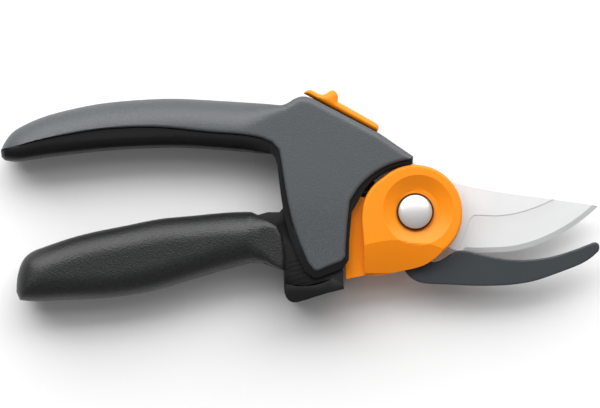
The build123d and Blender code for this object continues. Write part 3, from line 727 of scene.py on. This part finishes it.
# %% The slider
slider_outline = even(section("lock_slider", 0.0)[0], step=0.6 * MM)
slider_piece = sculpt(
    "slider", slider_outline, lambda x, y, edge: slider_half - roll(edge, 2.4 * MM, 2.2 * MM),
    lambda x, y, edge: -slider_half + roll(edge, 2.4 * MM, 2.2 * MM))
place(slider_piece, "lock", orange_nylon, "orange_nylon", "lock_slider")

# %% [markdown]
# ## Camera, floor and light
# The tool is seen from straight above with a long lens. Two broad soft lights stand on the side of the
# tool's back, a low one and a weaker high one, and an even white sky fills the rest.

# %% Camera
VIEW_WIDTH = 220.9 * MM
VIEW_CENTRE = Vector((-42.1 * MM, 2.8 * MM, 0))
lens = bpy.data.cameras.new("camera")
lens.lens, lens.sensor_width, lens.clip_end = 200, 36, 20
eye = bpy.data.objects.new("camera", lens)
eye.location = VIEW_CENTRE + Vector((0, 0, mid + VIEW_WIDTH * lens.lens / lens.sensor_width))
bpy.context.collection.objects.link(eye)
bpy.context.scene.camera = eye

# %% Floor
floor_mesh = bpy.data.meshes.new("floor")
HALF_FLOOR = 1.5
floor_mesh.from_pydata(
    [(x * HALF_FLOOR, y * HALF_FLOOR, 0) for x, y in ((-1, -1), (1, -1), (1, 1), (-1, 1))],
    [], [(0, 1, 2, 3)])
floor = bpy.data.objects.new("floor", floor_mesh)
bpy.context.collection.objects.link(floor)
paper = bpy.data.materials.new("paper")
paper.use_nodes = True
paper_shader = paper.node_tree.nodes["Principled BSDF"]
paper_shader.inputs["Base Color"].default_value = (0.88, 0.88, 0.88, 1)
paper_shader.inputs["Roughness"].default_value = 0.9
floor_mesh.materials.append(paper)


# %% Lights
def softbox(name, spot, aim, size, power):
    """A soft area light that points at a spot."""
    lamp = bpy.data.lights.new(name, "AREA")
    lamp.shape, lamp.size, lamp.size_y, lamp.energy = "RECTANGLE", size[0], size[1], power
    box = bpy.data.objects.new(name, lamp)
    box.location = spot
    box.rotation_euler = (Vector(aim) - Vector(spot)).to_track_quat("-Z", "Y").to_euler()
    bpy.context.collection.objects.link(box)


TOOL_MIDDLE = (-0.04, 0, 0)
softbox("top_light", (-0.12, 0.75, 0.62), TOOL_MIDDLE, (2.0, 0.9), 20)
softbox("over_light", (-0.04, 0.7, 1.3), TOOL_MIDDLE, (2.2, 0.9), 10)
world = bpy.data.worlds.new("studio")
world.use_nodes = True
sky = world.node_tree.nodes["Background"]
sky.inputs["Color"].default_value = (1, 1, 1, 1)
sky.inputs["Strength"].default_value = 0.26
bpy.context.scene.view_settings.view_transform = "Standard"
bpy.context.scene.world = world


# %% [markdown]
# ## Screws, ribs and other repeats
# Three equal screws come in from the rear, and a row of fine ribs stands on each side wall of the lower
# handle. Geometry Nodes puts copies of one form on points, so a count, a pitch or a size is one number.

# %% Shared parts of the trees
def new_tree(name, inputs):
    """A Geometry Nodes tree with named sizes, and its two end nodes."""
    tree = bpy.data.node_groups.new(name, "GeometryNodeTree")
    tree.interface.new_socket("Geometry", in_out="INPUT", socket_type="NodeSocketGeometry")
    for label, kind, default in inputs:
        socket = tree.interface.new_socket(label, in_out="INPUT", socket_type="NodeSocket" + kind)
        socket.default_value = default
    tree.interface.new_socket("Geometry", in_out="OUTPUT", socket_type="NodeSocketGeometry")
    return tree, tree.nodes.new("NodeGroupInput"), tree.nodes.new("NodeGroupOutput")


def end_tree(tree, instances, material, end):
    """Realize the copies, give them their material and put them out."""
    real = tree.nodes.new("GeometryNodeRealizeInstances")
    painted = tree.nodes.new("GeometryNodeSetMaterial")
    painted.inputs["Material"].default_value = material
    tree.links.new(instances, real.inputs["Geometry"])
    tree.links.new(real.outputs["Geometry"], painted.inputs["Geometry"])
    tree.links.new(painted.outputs["Geometry"], end.inputs["Geometry"])


def grow(name, tree, points, sizes):
    """Run a tree on points and keep the plain mesh that it makes."""
    mesh = bpy.data.meshes.new(name)
    mesh.from_pydata([tuple(p) for p in points], [], [])
    piece = bpy.data.objects.new(name, mesh)
    bpy.context.collection.objects.link(piece)
    run = piece.modifiers.new("nodes", "NODES")
    run.node_group = tree
    for item in tree.interface.items_tree:
        if item.in_out == "INPUT" and item.name in sizes:
            run[item.identifier] = sizes[item.name]
    view = bpy.context.evaluated_depsgraph_get()
    made = bpy.data.meshes.new_from_object(piece.evaluated_get(view))
    piece.modifiers.clear()
    piece.data = made
    made.shade_smooth()
    made.set_sharp_from_angle(angle=radians(35))
    print(name, len(made.polygons), "faces")
    return piece


# %% Cover screws
def screw_tree(material):
    """A head with a hexagonal drive and a shank, on each point."""
    tree, start, end = new_tree("cover_screw", [
        ("Head diameter", "Float", 5.6 * MM), ("Head depth", "Float", 1.0 * MM),
        ("Shank diameter", "Float", 3.0 * MM), ("Shank length", "Float", 12 * MM),
        ("Drive width", "Float", 2.2 * MM)])
    link = tree.links.new

    def half(value):
        node = tree.nodes.new("ShaderNodeMath")
        node.operation = "MULTIPLY"
        node.inputs[1].default_value = 0.5
        link(value, node.inputs[0])
        return node.outputs[0]

    def cylinder(width, length, sides):
        node = tree.nodes.new("GeometryNodeMeshCylinder")
        node.inputs["Vertices"].default_value = sides
        link(half(width), node.inputs["Radius"])
        link(length, node.inputs["Depth"])
        moved = tree.nodes.new("GeometryNodeTransform")
        offset = tree.nodes.new("ShaderNodeCombineXYZ")
        link(half(length), offset.inputs["Z"])
        link(offset.outputs["Vector"], moved.inputs["Translation"])
        link(node.outputs["Mesh"], moved.inputs["Geometry"])
        return moved.outputs["Geometry"]

    drive = cylinder(start.outputs["Drive width"], start.outputs["Head depth"], 6)
    lowered = tree.nodes.new("GeometryNodeTransform")
    lowered.inputs["Translation"].default_value = (0, 0, -0.35 * MM)
    link(drive, lowered.inputs["Geometry"])
    cut = tree.nodes.new("GeometryNodeMeshBoolean")
    cut.operation = "DIFFERENCE"
    head = cylinder(start.outputs["Head diameter"], start.outputs["Head depth"], 40)
    link(head, cut.inputs["Mesh 1"])
    link(lowered.outputs["Geometry"], cut.inputs["Mesh 2"])
    both = tree.nodes.new("GeometryNodeJoinGeometry")
    spread = tree.nodes.new("GeometryNodeInstanceOnPoints")
    shank = cylinder(start.outputs["Shank diameter"], start.outputs["Shank length"], 24)
    link(shank, both.inputs["Geometry"])
    link(cut.outputs["Mesh"], both.inputs["Geometry"])
    link(start.outputs["Geometry"], spread.inputs["Points"])
    link(both.outputs["Geometry"], spread.inputs["Instance"])
    end_tree(tree, spread.outputs["Instances"], material, end)
    return tree


SCREW_PLACES = [(-137.4, 28.4), (-66.5, 33.0), (-23.6, 25.0)]
screws = grow(
    "screws", screw_tree(plain_steel),
    [(x * MM, y * MM, mid - cover_half + 0.1 * MM) for x, y in SCREW_PLACES],
    {"Head diameter": 5.4 * MM, "Head depth": 0.9 * MM, "Shank diameter": 2.9 * MM,
     "Shank length": 20.5 * MM, "Drive width": 2.4 * MM})
place(screws, "upper_handle", plain_steel, "plain_steel", "cover_screws")


# %% Ribs on the lower handle's side walls
def rib_tree(material):
    """A row of straight ribs, on each point."""
    tree, start, end = new_tree("wall_ribs", [
        ("Count", "Int", 5), ("Pitch", "Float", 2.2 * MM), ("Length", "Float", 8 * MM),
        ("Width", "Float", 0.4 * MM), ("Height", "Float", 0.4 * MM), ("Slope", "Float", 0.23)])
    link = tree.links.new
    row, step = tree.nodes.new("GeometryNodeMeshLine"), tree.nodes.new("ShaderNodeCombineXYZ")
    bar, size = tree.nodes.new("GeometryNodeMeshCube"), tree.nodes.new("ShaderNodeCombineXYZ")
    bars, rows = (tree.nodes.new("GeometryNodeInstanceOnPoints") for _ in range(2))
    turn, flat = tree.nodes.new("ShaderNodeCombineXYZ"), tree.nodes.new("GeometryNodeRealizeInstances")
    link(start.outputs["Pitch"], step.inputs["Y"])
    link(start.outputs["Count"], row.inputs["Count"])
    link(step.outputs["Vector"], row.inputs["Offset"])
    for label, axis in (("Length", "X"), ("Width", "Y"), ("Height", "Z")):
        link(start.outputs[label], size.inputs[axis])
    link(size.outputs["Vector"], bar.inputs["Size"])
    link(start.outputs["Slope"], turn.inputs["Z"])
    link(row.outputs["Mesh"], bars.inputs["Points"])
    link(bar.outputs["Mesh"], bars.inputs["Instance"])
    link(turn.outputs["Vector"], bars.inputs["Rotation"])
    link(bars.outputs["Instances"], flat.inputs["Geometry"])
    link(start.outputs["Geometry"], rows.inputs["Points"])
    link(flat.outputs["Geometry"], rows.inputs["Instance"])
    end_tree(tree, rows.outputs["Instances"], material, end)
    return tree


wall_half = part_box("handle_bush")[1].z - mid
ribs = grow(
    "ribs", rib_tree(black_nylon),
    [(-43.0 * MM, -26.2 * MM, mid + side * wall_half) for side in (1, -1)],
    {"Count": 6, "Pitch": 1.7 * MM, "Length": 6.6 * MM, "Width": 0.35 * MM, "Height": 0.42 * MM,
     "Slope": radians(14)})
place(ribs, "lower_handle", black_nylon, "black_nylon")

# %% [markdown]
# ## Pivot bolt
# The bolt is turned, so its head is a profile spun round the axis: a short straight side, a rounded
# shoulder and a low dome.

# %% The bolt
def turned(name, profile, sides=96):
    """A closed solid from a profile of (radius, z) spun round the pivot's axis."""
    angles = np.linspace(0, 2 * pi, sides, endpoint=False)
    vertices = [(r * cos(a), r * sin(a), z) for r, z in profile for a in angles]
    faces = [
        (row * sides + i, row * sides + (i + 1) % sides, (row + 1) * sides + (i + 1) % sides,
         (row + 1) * sides + i)
        for row in range(len(profile) - 1) for i in range(sides)]
    faces += [tuple(range(sides)), tuple(range((len(profile) - 1) * sides, len(profile) * sides))]
    return to_mesh(name, vertices, faces)


bolt_low, bolt_high = (corner.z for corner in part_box("pivot_bolt"))
head_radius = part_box("pivot_bolt")[1].x
SHANK_RADIUS = 4 * MM
HEAD_HEIGHT = 2.2 * MM
CROWN_HEIGHT = 1.5 * MM
shank = [(SHANK_RADIUS, bolt_low), (SHANK_RADIUS, bolt_high - HEAD_HEIGHT)]
crown = [(head_radius * sin(t), bolt_high - CROWN_HEIGHT + CROWN_HEIGHT * cos(t))
         for t in np.linspace(pi / 2, 0.02, 18)]
bolt = turned("bolt", shank + [(head_radius, bolt_high - HEAD_HEIGHT)] + crown)
place(bolt, "upper_handle", rivet_steel, "rivet_steel", "pivot_bolt")

# %% [markdown]
# ## What is left of the model
# Small metal parts are lathe-turned or stamped, and their own shapes do. Each only gets a finish.

# %% Finishes on the model's own parts
# The washers' dark steel is painted shade, for the shadow gap between the bolt head and the housing.
OWN = {
    "pivot_nut": rivet_steel, "pivot_washers": dark_steel, "handle_pin": dark_steel,
    "blade_rivets": rivet_steel, "return_spring": spring_steel, "pivot_bush": bronze,
    "handle_bush": bronze, "housing_dowels": plain_steel, "lock_plate": plain_steel}
for node, finish in OWN.items():
    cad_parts[node].data.materials.clear()
    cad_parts[node].data.materials.append(finish)
